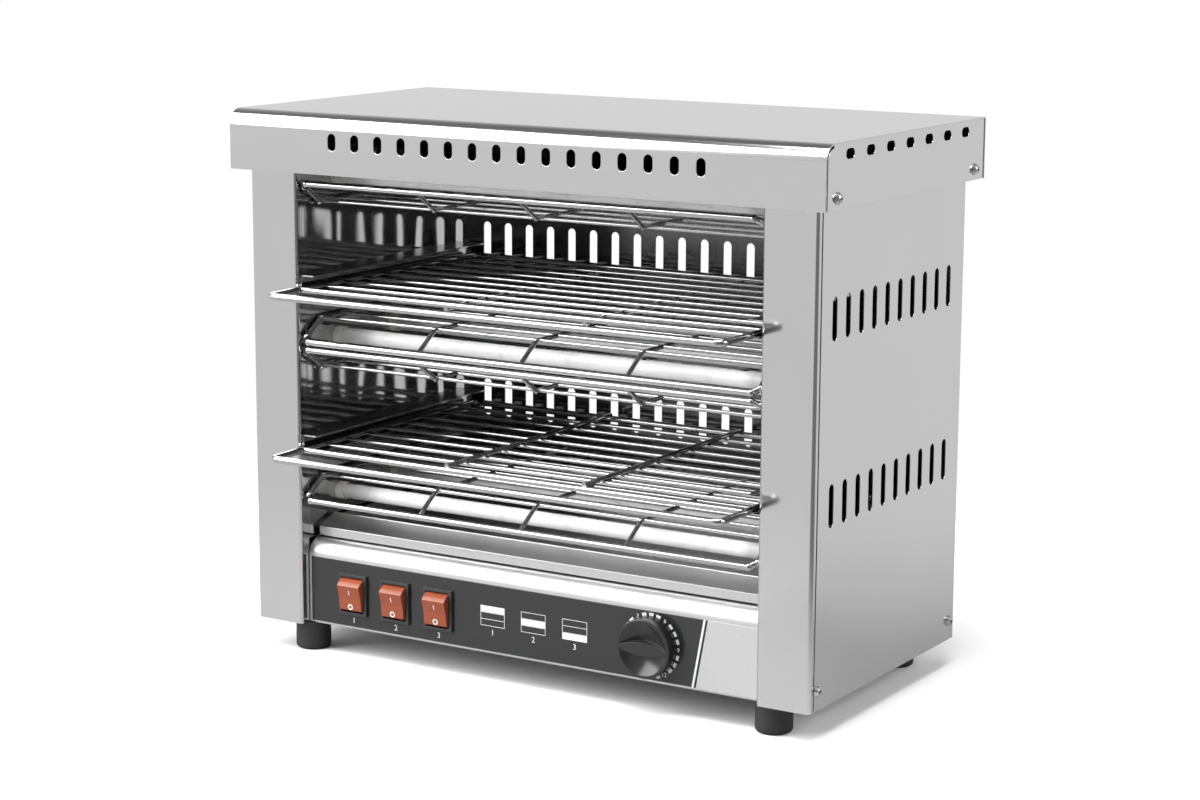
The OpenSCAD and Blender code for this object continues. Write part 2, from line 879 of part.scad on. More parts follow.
// Wire guard from its rim to its flat, with hoops, wires along it and pins for the bay walls
module guard(rim_z, flat_z) {
    rim_ys = guard_rim_ys;
    flat_ys = guard_flat_ys;
    first_wire = flat_ys[0] + guard_wire_inset;
    last_wire = flat_ys[1] - guard_wire_inset;
    wire_pitch = (last_wire - first_wire) / (guard_wires - 1);
    corners = [
        [-guard_x, rim_ys[0], rim_z], [guard_x, rim_ys[0], rim_z],
        [guard_x, flat_ys[0], flat_z], [guard_x, flat_ys[1], flat_z],
        [guard_x, rim_ys[1], rim_z], [-guard_x, rim_ys[1], rim_z],
        [-guard_x, flat_ys[1], flat_z], [-guard_x, flat_ys[0], flat_z]
    ];
    n = len(corners);
    rim_path = [
        for (i = [0 : n - 1])
            each corners[i][2] == rim_z
                ? cut_corner(corners[(i + n - 1) % n], corners[i], corners[(i + 1) % n], guard_corner)
                : [corners[i]]
    ];
    color(bright_wire) {
        jointed_rod(rim_path, guard_rim_d, closed = true);
        for (x = [-guard_hoop_pitch, 0, guard_hoop_pitch])
            jointed_rod(
                [
                    [x, rim_ys[0], rim_z], [x, flat_ys[0], flat_z],
                    [x, flat_ys[1], flat_z], [x, rim_ys[1], rim_z]
                ],
                guard_hoop_d
            );
        for (i = [0 : guard_wires - 1]) {
            y = first_wire + i * wire_pitch;
            rod([-guard_x, y, flat_z], [guard_x, y, flat_z], guard_wire_d);
        }
        for (s = [-1, 1], t = [-1, 1]) {
            y = bay_mid + t * guard_pin_y;
            rod([s * guard_x, y, flat_z], [s * (bay_x + sheet + 2 * guard_nut_t), y, flat_z], guard_pin_d);
        }
    }
}

// Heights of the guards' rims and flats: top, middle upper, middle lower, lower
pair_step = guard_ball_d + run_gap;
guard_rims = [
    top_z - guard_top_sink, middle_z + guard_rim_lift,
    middle_z + guard_rim_lift - pair_step, lower_z + guard_rim_lift
];
guard_flats = [
    guard_rims[0] - guard_drop, guard_rims[1] + guard_rise,
    guard_rims[2] - guard_drop, guard_rims[3] + guard_rise
];

// Push nuts on the guard pins, outside the bay walls
module guard_nuts() {
    color(steel)
        both_sides()
            for (z = guard_flats, s = [-1, 1])
                to_right([bay_x + sheet, bay_mid + s * guard_pin_y, z])
                    difference() {
                        cylinder(d = guard_nut_d, h = guard_nut_t);
                        translate([0, 0, -over])
                            cylinder(d = guard_pin_d + 2 * pin_gap, h = guard_nut_t + 2 * over);
                    }
}

// Racks

// Right-hand channel that a rack's side rod slides in
module rail(rack_z) {
    floor_z = rack_z - rack_rod_d / 2 - run_gap;
    ceiling_z = rack_z + rack_rod_d / 2 + rail_room;
    color(steel)
        difference() {
            slab([bay_x - rail_depth, rail_front, floor_z - sheet], [bay_x, rail_rear, ceiling_z + sheet]);
            slab(
                [bay_x - rail_depth - over, rail_front - over, floor_z],
                [bay_x - sheet, rail_rear + over, ceiling_z]
            );
        }
}

// Welded wire rack: frame, front bar, cross wires, and stiffeners on the given side of them
module rack(rack_z, bar_side) {
    step = (rack_rear - rack_bar_y) / (rack_wires + 1);
    bar_z = rack_z + bar_side * ((rack_wire_d + rack_bar_d) / 2 - weld);
    color(bright_wire) {
        rod_loop(
            [
                [-rack_x, rack_front, rack_z], [rack_x, rack_front, rack_z],
                [rack_x, rack_rear, rack_z], [-rack_x, rack_rear, rack_z]
            ],
            rack_corner_r, rack_rod_d
        );
        rod([-rack_x, rack_bar_y, rack_z], [rack_x, rack_bar_y, rack_z], rack_rod_d - 2 * fit_gap);
        for (i = [1 : rack_wires]) {
            y = rack_bar_y + i * step;
            rod([-rack_x, y, rack_z], [rack_x, y, rack_z], rack_wire_d);
        }
        for (x = [-rack_bar_x, rack_bar_x])
            rod([x, rack_bar_y, bar_z], [x, rack_rear, bar_z], rack_bar_d);
    }
}

// Crumb tray: an open pan whose front folds over into a pull
module crumb_tray() {
    face_z = tray_lip_z - tray_face_drop;
    strip_y = tray_front - tray_face_d;
    color(steel) {
        difference() {
            slab([-tray_half, tray_front, tray_z], [tray_half, tray_rear, tray_z + tray_wall_h]);
            slab(
                [-tray_half + sheet, tray_front + sheet, tray_z + sheet],
                [tray_half - sheet, tray_rear - sheet, tray_z + tray_wall_h + over]
            );
        }
        slab([-tray_half, tray_front, tray_z], [tray_half, tray_front + sheet, tray_lip_z]);
        along_x(-tray_half, tray_half)
            polygon([
                [tray_front + sheet, tray_lip_z], [strip_y, face_z], [strip_y, face_z - tray_strip_h],
                [strip_y + sheet, face_z - tray_strip_h], [strip_y + sheet, face_z - sheet / 2],
                [tray_front + sheet, tray_lip_z - sheet]
            ]);
    }
}

// Controls

// Openings in the control strip for the switches and the timer
module fascia_cuts(y0, y1) {
    for (x = switch_xs)
        slab(
            [x - switch_cut_w / 2, y0, switch_z - switch_cut_h / 2],
            [x + switch_cut_w / 2, y1, switch_z + switch_cut_h / 2]
        );
    to_back([timer_x, y0, timer_z]) cylinder(d = bushing_d + 2 * fit_gap, h = y1 - y0);
}

// Side view of the control strip, drawn in by the given inset
module fascia_outline(inset) {
    r = fascia_r - inset;
    y0 = fascia_y + inset;
    z0 = fascia_bottom + inset;
    z1 = fascia_top - inset;
    depth = fascia_back - y0 + inset;
    intersection() {
        union() {
            translate([y0, z0]) square([depth, z1 - r - z0]);
            translate([y0 + r, z0]) square([depth - r, z1 - z0]);
            translate([y0 + r, z1 - r]) circle(r);
        }
        translate([y0, z0]) square([depth, z1 - z0]);
    }
}

module control_fascia() {
    color(steel)
        difference() {
            along_x(-fascia_half, fascia_half)
                difference() {
                    fascia_outline(0);
                    fascia_outline(sheet);
                }
            fascia_cuts(fascia_y - over, fascia_y + 2 * sheet);
            both_sides()
                slab(
                    [foot_x - foot_nut_d / 2 - foot_nut_room, fascia_y + 2 * sheet, fascia_bottom - over],
                    [fascia_half + over, fascia_back + over, fascia_bottom + sheet + over]
                );
        }
}

module fascia_overlay() {
    color(overlay_grey)
        difference() {
            slab([-overlay_half, overlay_face, overlay_z], [overlay_half, fascia_y, overlay_z + overlay_h]);
            fascia_cuts(overlay_face - over, fascia_y + over);
        }
}

// Switch body with its bezel in front of the panel and a well for the rocker
module switch_housing(x) {
    half_body_w = switch_cut_w / 2 - fit_gap;
    half_body_h = switch_cut_h / 2 - fit_gap;
    well_half = rocker_half + run_gap;
    well_r = rocker_r + run_gap;
    color(black_plastic)
        difference() {
            union() {
                slab(
                    [x - bezel_half_w, bezel_face, switch_z - bezel_half_h],
                    [x + bezel_half_w, overlay_face, switch_z + bezel_half_h]
                );
                slab(
                    [x - half_body_w, bezel_face, switch_z - half_body_h],
                    [x + half_body_w, bezel_face + switch_depth, switch_z + half_body_h]
                );
            }
            to_right([x - well_half, pivot_y, switch_z]) cylinder(r = well_r, h = 2 * well_half);
            slab(
                [x - well_half, bezel_face - over, switch_z - well_r],
                [x + well_half, pivot_y, switch_z + well_r]
            );
            to_right([x - switch_cut_w, pivot_y, switch_z])
                cylinder(d = rocker_pin_d + 2 * pin_gap, h = 2 * switch_cut_w);
        }
}

// Rocker with two leaning faces and its pivot pins, standing in its off position
module rocker(x) {
    ridge = 8.2;
    tip = 9.2;
    back = 5;
    color(switch_red)
        translate([x, pivot_y, switch_z])
            rotate([rocker_throw / 2, 0, 0]) {
                along_x(-rocker_half, rocker_half)
                    intersection() {
                        circle(rocker_r);
                        polygon([
                            [back, -rocker_r], [back, rocker_r],
                            [-tip, rocker_r], [-ridge, 0], [-tip, -rocker_r]
                        ]);
                    }
                to_right([-rocker_half - run_gap - switch_wall, 0, 0])
                    cylinder(d = rocker_pin_d, h = 2 * (rocker_half + run_gap + switch_wall));
            }
}

module timer_body() {
    bushing_out = 1;
    back_face = fascia_y + sheet;
    color(black_plastic)
        difference() {
            union() {
                slab(
                    [timer_x - timer_size / 2, back_face, timer_z - timer_size / 2],
                    [timer_x + timer_size / 2, back_face + timer_depth, timer_z + timer_size / 2]
                );
                to_front([timer_x, back_face, timer_z])
                    cylinder(d = bushing_d, h = sheet + overlay_t + bushing_out);
            }
            to_front([timer_x, back_face + timer_depth / 2, timer_z])
                cylinder(d = shaft_d + 2 * pin_gap, h = timer_depth);
        }
}

module timer_shaft() {
    shaft_l = timer_depth / 2 - run_gap + sheet + overlay_t + shaft_out;
    color(steel)
        to_front([timer_x, fascia_y + sheet + timer_depth / 2 - run_gap, timer_z])
            cylinder(d = shaft_d, h = shaft_l);
}

// Round knob with a dished face and a bar to grip, which narrows to a point at both ends
module timer_knob() {
    lift = 1.2;
    edge_r = 1.2;
    rim = 2.4;
    dish_depth = 5.5;
    bar_w = 9.5;
    bar_proud = 0.6;
    well_room = 1.5;
    well_h = 1.5;
    knob_r = knob_d / 2;
    bar_r = knob_r - fit_gap;
    bar_h = knob_h + bar_proud - lift;
    dish_r = knob_r - rim;
    dish_ball = (dish_r * dish_r + dish_depth * dish_depth) / (2 * dish_depth);
    side_r = (knob_r * knob_r + bar_w * bar_w / 4) / bar_w;
    color(black_plastic)
        to_front([timer_x, overlay_face, timer_z])
            difference() {
                union() {
                    difference() {
                        rotate_extrude()
                            union() {
                                translate([0, lift]) square([knob_r, knob_h - edge_r - lift]);
                                translate([0, lift]) square([knob_r - edge_r, knob_h - lift]);
                                translate([knob_r - edge_r, knob_h - edge_r]) circle(edge_r);
                            }
                        translate([0, 0, knob_h - dish_depth + dish_ball]) sphere(dish_ball);
                    }
                    translate([0, 0, lift])
                        intersection() {
                            cylinder(r = bar_r, h = bar_h);
                            translate([0, side_r - bar_w / 2, 0]) cylinder(r = side_r, h = bar_h);
                            translate([0, bar_w / 2 - side_r, 0]) cylinder(r = side_r, h = bar_h);
                        }
                }
                translate([0, 0, lift - over]) cylinder(d = bushing_d + 2 * well_room, h = well_h + over);
                translate([0, 0, lift]) cylinder(d = shaft_d + 2 * pin_gap, h = shaft_out + weld - lift);
            }
}

// Feet and fittings

module feet() {
    edge_r = 3;
    color(rubber)
        for (x = [-foot_x, foot_x], y = [-foot_y, foot_y])
            translate([x, y, 0])
                difference() {
                    rotate_extrude()
                        union() {
                            square([foot_d / 2 - edge_r, foot_h]);
                            translate([0, edge_r]) square([foot_d / 2, foot_h - edge_r]);
                            translate([foot_d / 2 - edge_r, edge_r]) circle(edge_r);
                        }
                    translate([0, 0, -over]) cylinder(d = foot_bore_d, h = foot_seat + over);
                    cylinder(d = foot_screw_d + 2 * screw_gap, h = foot_h + over);
                }
}

module foot_screws() {
    head_t = 3.5;
    head_room = 0.75;
    color(steel)
        for (x = [-foot_x, foot_x], y = [-foot_y, foot_y])
            translate([x, y, foot_seat - head_t]) {
                cylinder(d = foot_bore_d - 2 * head_room, h = head_t);
                cylinder(d = foot_screw_d, h = base_z + foot_screw_up - foot_seat + head_t);
            }
}

module foot_nuts() {
    color(steel)
        for (x = [-foot_x, foot_x], y = [-foot_y, foot_y])
            translate([x, y, base_z + sheet])
                difference() {
                    cylinder(d = foot_nut_d, h = foot_nut_t, $fn = 6);
                    translate([0, 0, -over])
                        cylinder(d = foot_screw_d + 2 * pin_gap, h = foot_nut_t + 2 * over);
                }
}

// Pan-head screw with a cross recess, its head on local +Z
module case_screw() {
    recess_l = 4.6;
    recess_w = 1;
    recess_h = 1.6;
    dome = 1.2;
    difference() {
        union() {
            rotate_extrude()
                polygon([
                    [0, 0], [screw_head_d / 2, 0], [screw_head_d / 2, screw_head_t - 2 * dome],
                    [screw_head_d / 2 - dome, screw_head_t - dome / 2],
                    [screw_head_d / 2 - 2 * dome, screw_head_t], [0, screw_head_t]
                ]);
            translate([0, 0, -screw_l]) cylinder(d = screw_d, h = screw_l + weld);
        }
        for (a = [0, 90])
            rotate(a)
                translate([-recess_l / 2, -recess_w / 2, screw_head_t - recess_h])
                    cube([recess_l, recess_w, recess_h + over]);
    }
}

// Screws of the lid, the side covers and the back panel
module case_screws() {
    color(steel) {
        both_sides() {
            for (y = [-lid_screw_y, lid_screw_y])
                to_right([lid_x - lid_seam, y, lid_screw_z]) case_screw();
            for (y = [-side_screw_y, side_screw_y])
                to_right([half_w, y, side_screw_z]) case_screw();
        }
        for (x = [-back_screw_x, back_screw_x], z = back_screw_zs)
            to_back([x, back_y, z]) case_screw();
    }
}

// Cable gland: thread through the back panel, hexagon collar and domed cap, with a clear bore
module cable_gland() {
    collar_t = 5;
    collar_w = 4;
    thread_in = 12;
    cap_w = 1;
    dome_h = 6;
    lip_w = 2;
    color(black_plastic)
        to_back([gland_x, back_y, gland_z])
            difference() {
                union() {
                    translate([0, 0, -sheet - thread_in]) cylinder(d = gland_d, h = sheet + thread_in + weld);
                    cylinder(d = gland_d + 2 * collar_w, h = collar_t, $fn = 6);
                    rotate_extrude()
                        polygon([
                            [0, collar_t - weld], [gland_d / 2 + cap_w, collar_t - weld],
                            [gland_d / 2 + cap_w, gland_reach - dome_h],
                            [gland_bore / 2 + lip_w, gland_reach],
                            [0, gland_reach]
                        ]);
                }
                translate([0, 0, -sheet - thread_in - over])
                    cylinder(d = gland_bore, h = sheet + thread_in + gland_reach + 2 * over);
            }
}

module gland_nut() {
    nut_w = 5;
    color(black_plastic)
        to_front([gland_x, bay_back, gland_z])
            difference() {
                cylinder(d = gland_d + 2 * nut_w, h = gland_nut_t, $fn = 6);
                translate([0, 0, -over]) cylinder(d = gland_d + 2 * pin_gap, h = gland_nut_t + 2 * over);
            }
}

// Terminal block on the base, beside the gland
module terminal_block() {
    block_l = 64;
    block_w = 22;
    block_h = 20;
    block_shift = 80;
    block_setback = 62;
    ways = 5;
    well_d = 6;
    well_h = 9;
    color(ceramic)
        translate([gland_x - block_shift, back_y - block_setback, base_z + sheet])
            difference() {
                cube([block_l, block_w, block_h]);
                for (i = [0 : ways - 1], y = [block_w / 4, block_w * 3 / 4])
                    translate([(i + 0.5) * block_l / ways, y, block_h - well_h])
                        cylinder(d = well_d, h = well_h + over);
            }
}

module place() {
    translate([0, body_y, 0]) children();
}

place() base_pan();
place() left_post();
place() right_post();
place() left_side_cover();
place() right_side_cover();
place() left_liner();
place() right_liner();
place() back_panel();
place() top_reflector();
place() front_lintel();
place() top_cover();
place() deck_plate();
place() deck_brackets();
place() control_fascia();
place() fascia_overlay();
place() quartz_tube(tube_ys[0], top_z);  // top_tube_front
place() quartz_tube(tube_ys[1], top_z);  // top_tube_middle
place() quartz_tube(tube_ys[2], top_z);  // top_tube_rear
place() quartz_tube(tube_ys[0], middle_z);  // middle_tube_front
place() quartz_tube(tube_ys[1], middle_z);  // middle_tube_middle
place() quartz_tube(tube_ys[2], middle_z);  // middle_tube_rear
place() quartz_tube(tube_ys[0], lower_z);  // lower_tube_front
place() quartz_tube(tube_ys[1], lower_z);  // lower_tube_middle
place() quartz_tube(tube_ys[2], lower_z);  // lower_tube_rear
place() tier_coils(top_z);  // top_coils
place() tier_coils(middle_z);  // middle_coils
place() tier_coils(lower_z);  // lower_coils
place() tier_caps(top_z);  // top_end_caps
place() tier_caps(middle_z);  // middle_end_caps
place() tier_caps(lower_z);  // lower_end_caps
place() cap_retainers();
place() guard(guard_rims[0], guard_flats[0]);  // top_guard
place() guard(guard_rims[1], guard_flats[1]);  // middle_upper_guard
place() guard(guard_rims[2], guard_flats[2]);  // middle_lower_guard
place() guard(guard_rims[3], guard_flats[3]);  // lower_guard
place() guard_nuts();
place() to_left() rail(rack_zs[1]);  // upper_left_rail
place() rail(rack_zs[1]);  // upper_right_rail
place() to_left() rail(rack_zs[0]);  // lower_left_rail
place() rail(rack_zs[0]);  // lower_right_rail
place() rack(rack_zs[1], -1);  // upper_rack
place() rack(rack_zs[0], 1);  // lower_rack
place() crumb_tray();
place() switch_housing(switch_xs[0]);  // switch_1_housing
place() switch_housing(switch_xs[1]);  // switch_2_housing
place() switch_housing(switch_xs[2]);  // switch_3_housing
place() rocker(switch_xs[0]);  // rocker_1
place() rocker(switch_xs[1]);  // rocker_2
place() rocker(switch_xs[2]);  // rocker_3
place() timer_body();
place() timer_shaft();
place() timer_knob();
place() feet();
place() foot_screws();
place() foot_nuts();
place() case_screws();
place() cable_gland();
place() gland_nut();
place() terminal_block();
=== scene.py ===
"""Looks of the two-deck counter toaster: finishes, printed marks, studio and camera."""
import json
import math

import bpy
from mathutils import Matrix, Vector


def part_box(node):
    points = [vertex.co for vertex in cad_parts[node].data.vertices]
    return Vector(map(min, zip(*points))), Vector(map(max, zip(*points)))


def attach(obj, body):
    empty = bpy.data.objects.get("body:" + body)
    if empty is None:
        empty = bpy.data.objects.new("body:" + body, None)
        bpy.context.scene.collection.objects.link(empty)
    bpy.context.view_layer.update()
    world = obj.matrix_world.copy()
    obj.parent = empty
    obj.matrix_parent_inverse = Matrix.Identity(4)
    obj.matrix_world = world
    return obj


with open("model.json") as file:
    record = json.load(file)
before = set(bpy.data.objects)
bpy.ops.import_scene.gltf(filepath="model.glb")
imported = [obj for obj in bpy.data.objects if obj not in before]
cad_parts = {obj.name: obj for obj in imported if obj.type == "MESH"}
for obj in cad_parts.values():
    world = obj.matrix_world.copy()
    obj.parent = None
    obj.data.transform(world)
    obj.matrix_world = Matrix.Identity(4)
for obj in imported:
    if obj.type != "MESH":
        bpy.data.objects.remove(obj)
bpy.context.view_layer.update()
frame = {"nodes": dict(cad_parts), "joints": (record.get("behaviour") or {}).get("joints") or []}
MM = 0.001
NODES = frame["nodes"]


# Node helpers

MIX_SHARE, MIX_A, MIX_B, MIX_RESULT = 0, 6, 7, 2


def node(tree, kind, values=None, **settings):
    """A shader node. values maps an input's name or number to a value or to another node's output."""
    made = tree.nodes.new(kind)
    for key, value in settings.items():
        setattr(made, key, value)
    for key, value in (values or {}).items():
        if isinstance(value, bpy.types.NodeSocket):
            tree.links.new(value, made.inputs[key])
        else:
            made.inputs[key].default_value = value
    return made


def math_node(tree, operation, a, b=0.0):
    return node(tree, "ShaderNodeMath", {0: a, 1: b}, operation=operation).outputs[0]


def vector_node(tree, operation, *vectors):
    return node(tree, "ShaderNodeVectorMath", dict(enumerate(vectors)), operation=operation).outputs


def ramp(tree, value, start, end, **settings):
    """A share that is 0 up to start and 1 from end on."""
    inputs = {"Value": value, "From Min": start, "From Max": end}
    return node(tree, "ShaderNodeMapRange", inputs, **settings).outputs[0]


def blend_values(tree, share, low, high):
    """A number that goes from low to high with share."""
    return node(tree, "ShaderNodeMapRange", {"Value": share, "To Min": low, "To Max": high}).outputs[0]


def blend_colours(tree, share, a, b):
    """A colour that goes from a to b with share."""
    inputs = {MIX_SHARE: share, MIX_A: a, MIX_B: b}
    return node(tree, "ShaderNodeMix", inputs, data_type="RGBA").outputs[MIX_RESULT]


def grey(v):
    return (v, v, v, 1.0)


def shade(colour, factor):
    """The colour made darker or lighter."""
    return tuple(min(1.0, c * factor) for c in colour[:3]) + (1.0,)


def material(name):
    """An empty node material with a Principled shader: (material, tree, shader)."""
    made = bpy.data.materials.new(name)
    made.use_nodes = True
    tree = made.node_tree
    tree.nodes.clear()
    shader = node(tree, "ShaderNodeBsdfPrincipled")
    node(tree, "ShaderNodeOutputMaterial", {"Surface": shader.outputs[0]})
    return made, tree, shader


def place(tree):
    return node(tree, "ShaderNodeTexCoord").outputs["Object"]


def coordinates(tree, vector):
    return node(tree, "ShaderNodeSeparateXYZ", {0: vector}).outputs


def noise(tree, scale, detail=3.0):
    """Noise with its own scale along each axis, in cells per metre."""
    stretched = vector_node(tree, "MULTIPLY", place(tree), scale)[0]
    inputs = {"Vector": stretched, "Scale": 1.0, "Detail": detail}
    return node(tree, "ShaderNodeTexNoise", inputs).outputs["Fac"]


def soften(tree, shader, radius, height, strength, distance):
    """Rounds the edges in the shading and adds a fine relief; gives the normal."""
    soft = node(tree, "ShaderNodeBevel", {"Radius": radius}, samples=4)
    inputs = {"Strength": strength, "Distance": distance, "Height": height, "Normal": soft.outputs[0]}
    normal = node(tree, "ShaderNodeBump", inputs).outputs[0]
    tree.links.new(normal, shader.inputs["Normal"])
    return normal


# Masks for faces, each a function of the tree and of the three coordinates

def both(tree, *masks):
    """A mask that is 1 where all the given masks are 1."""
    out = masks[0]
    for mask in masks[1:]:
        out = math_node(tree, "MULTIPLY", out, mask)
    return out


def near_middle(limit):
    """Faces of a post that look into the bays."""
    return lambda tree, at: math_node(tree, "LESS_THAN", math_node(tree, "ABSOLUTE", at[0]), limit)


def in_front(limit):
    return lambda tree, at: math_node(tree, "LESS_THAN", at[1], limit)


def above(limit):
    return lambda tree, at: math_node(tree, "GREATER_THAN", at[2], limit)


def under_lid(low, high, skin, side_skin, bend):
    """Inner faces of the lid; the rounded front edge, bend wide, counts as outside."""
    def mask(tree, at):
        inside = [
            math_node(tree, "LESS_THAN", math_node(tree, "ABSOLUTE", at[0]), high.x - side_skin),
            math_node(tree, "GREATER_THAN", at[1], low.y + skin),
            math_node(tree, "LESS_THAN", at[1], high.y - skin),
            math_node(tree, "LESS_THAN", at[2], high.z - skin),
        ]
        edge = both(
            tree,
            math_node(tree, "LESS_THAN", at[1], low.y + bend),
            math_node(tree, "GREATER_THAN", at[2], high.z - bend),
        )
        return both(tree, *inside, math_node(tree, "SUBTRACT", 1.0, edge))
    return mask


# Finishes; scales of noise are in cells per metre

UPRIGHT_GRAIN = (700, 700, 5)
LEVEL_GRAIN = (5, 700, 700)
CLOUDS = (9, 9, 9)
SWELL = (16, 16, 10)
SPECKS = (420, 420, 420)
MILK = (60, 60, 60)
FILM_GRAIN = (500, 500, 500)

# Share of the grain in a sheet's tone, and how far the tone strays outside and on inner faces
GRAIN_SHARE, SHEET_TONE, INNER_TONE = 0.35, 0.03, 0.06
GRAIN_RELIEF, GRAIN_DEPTH = 0.03, 0.2 * MM
SHEET_EDGE, THIN_EDGE, MOULDED_EDGE = 0.6 * MM, 0.4 * MM, 0.5 * MM


def sheet_steel(name, base, rough, spread, grain, edge=SHEET_EDGE, inner=None, wave=0.0):
    """Stainless sheet: fine grain lines in the gloss, faint cloudiness, soft edges and a gentle wave.

    inner is (mask, base, rough) for the faces that the mask picks out.
    """
    made, tree, shader = material(name)
    lines = noise(tree, grain, 2.0)
    clouds = noise(tree, CLOUDS, 2.0)
    tone = math_node(
        tree, "ADD",
        math_node(tree, "MULTIPLY", lines, GRAIN_SHARE),
        math_node(tree, "MULTIPLY", clouds, 1 - GRAIN_SHARE),
    )
    shader.inputs["Metallic"].default_value = 1.0
    colour = blend_colours(tree, tone, grey(base * (1 - SHEET_TONE)), grey(base * (1 + SHEET_TONE)))
    gloss = blend_values(tree, tone, rough - spread, rough + spread)
    if inner:
        mask, inner_base, inner_rough = inner
        share = mask(tree, coordinates(tree, place(tree)))
        toned = blend_colours(
            tree, tone, grey(inner_base * (1 - INNER_TONE)), grey(inner_base * (1 + INNER_TONE))
        )
        colour = blend_colours(tree, share, colour, toned)
        gloss = blend_values(tree, share, gloss, inner_rough)
    tree.links.new(colour, shader.inputs["Base Color"])
    tree.links.new(gloss, shader.inputs["Roughness"])
    normal = soften(tree, shader, edge, lines, GRAIN_RELIEF, GRAIN_DEPTH)
    if wave:
        inputs = {"Strength": 1.0, "Distance": wave, "Height": noise(tree, SWELL, 1.0), "Normal": normal}
        tree.links.new(node(tree, "ShaderNodeBump", inputs).outputs[0], shader.inputs["Normal"])
    return made


def plated_wire(name, base, rough):
    made, tree, shader = material(name)
    specks = noise(tree, SPECKS, 2.0)
    shader.inputs["Metallic"].default_value = 1.0
    colour = blend_colours(tree, specks, grey(base * 0.92), grey(base * 1.06))
    tree.links.new(colour, shader.inputs["Base Color"])
    tree.links.new(blend_values(tree, specks, rough * 0.7, rough * 1.4), shader.inputs["Roughness"])
    return made


# A tube's ends turn a darker grey, painted shade, between these distances from the middle; its rings repeat
# along its length
END_SHADE_FROM, END_SHADE_TO = 156 * MM, 164 * MM
RING_TURN, RING_FROM, RING_DEPTH = 110.0, 0.9, 0.16


def milky_quartz(name):
    """Milky tube with painted shade at its ends and faint rings."""
    made, tree, shader = material(name)
    along = coordinates(tree, place(tree))[0]
    end_shade = ramp(tree, math_node(tree, "ABSOLUTE", along), END_SHADE_FROM, END_SHADE_TO)
    turn = math_node(tree, "SINE", math_node(tree, "MULTIPLY", along, RING_TURN))
    rings = math_node(tree, "MULTIPLY", ramp(tree, turn, RING_FROM, 1.0), RING_DEPTH)
    cloud = noise(tree, MILK)
    body = blend_colours(tree, cloud, grey(0.95), grey(0.98))
    ringed = blend_colours(tree, rings, body, grey(0.45))
    # painted shade: both ends of the tube turn a darker grey
    tree.links.new(blend_colours(tree, end_shade, ringed, grey(0.62)), shader.inputs["Base Color"])
    tree.links.new(blend_values(tree, cloud, 0.22, 0.34), shader.inputs["Roughness"])
    return made


def moulded(name, colour, rough, grain=900, relief=0.03):
    """Moulded plastic or rubber with a fine grain."""
    made, tree, shader = material(name)
    fine = noise(tree, (grain, grain, grain))
    toned = blend_colours(tree, fine, shade(colour, 0.9), shade(colour, 1.1))
    tree.links.new(toned, shader.inputs["Base Color"])
    tree.links.new(blend_values(tree, fine, rough - 0.05, rough + 0.05), shader.inputs["Roughness"])
    soften(tree, shader, MOULDED_EDGE, fine, relief, 0.3 * MM)
    return made


# The film's silver end: where its slanting border meets the film's top and bottom, and the
# distances past the border at which the white line ends and the silver begins
SLANT_TOP, SLANT_BOTTOM = 147.8 * MM, 138.8 * MM
WHITE_END, SILVER_FROM = 1.6 * MM, 3.4 * MM
CHARCOAL_DARK, CHARCOAL_LIGHT = (0.018, 0.0185, 0.0195, 1), (0.023, 0.0235, 0.0245, 1)


def printed_film(name, low, high):
    """Glossy film: charcoal, with a silver end beyond a slanting white and dark line."""
    made, tree, shader = material(name)
    at = coordinates(tree, place(tree))
    rise = math_node(tree, "SUBTRACT", at[2], low.z)
    slant = (SLANT_TOP - SLANT_BOTTOM) / (high.z - low.z)
    border = math_node(tree, "ADD", math_node(tree, "MULTIPLY", rise, slant), SLANT_BOTTOM)
    past = math_node(tree, "SUBTRACT", at[0], border)
    white = math_node(tree, "GREATER_THAN", past, 0.0)
    dark = math_node(tree, "GREATER_THAN", past, WHITE_END)
    silver = math_node(tree, "GREATER_THAN", past, SILVER_FROM)
    fine = noise(tree, FILM_GRAIN)
    charcoal = blend_colours(tree, fine, CHARCOAL_DARK, CHARCOAL_LIGHT)
    colour = blend_colours(tree, white, charcoal, grey(0.82))
    colour = blend_colours(tree, dark, colour, charcoal)
    colour = blend_colours(tree, silver, colour, blend_colours(tree, fine, grey(0.62), grey(0.67)))
    tree.links.new(colour, shader.inputs["Base Color"])
    tree.links.new(math_node(tree, "MULTIPLY", silver, 0.85), shader.inputs["Metallic"])
    satin = math_node(tree, "MULTIPLY", silver, 0.18)
    gloss = math_node(tree, "ADD", satin, blend_values(tree, fine, 0.10, 0.16))
    tree.links.new(gloss, shader.inputs["Roughness"])
    return made


film_low, film_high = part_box("fascia_overlay")
lid_low, lid_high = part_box("top_cover")
back_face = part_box("back_panel")[1].y
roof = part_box("top_reflector")[1].z

# Depth below a face that still counts as that face; the lid's side plates lie a little further in
SKIN, SIDE_SKIN = 0.5 * MM, 1.1 * MM
LID_BEND = 12 * MM
BAY_HALF = 195.6 * MM
WAVE = 1.2 * MM
# Base and roughness of painted shade: near black on the lid's inner faces and on the reflector's upper face
PAINTED_SHADE_INSIDE = (0.05, 0.5)

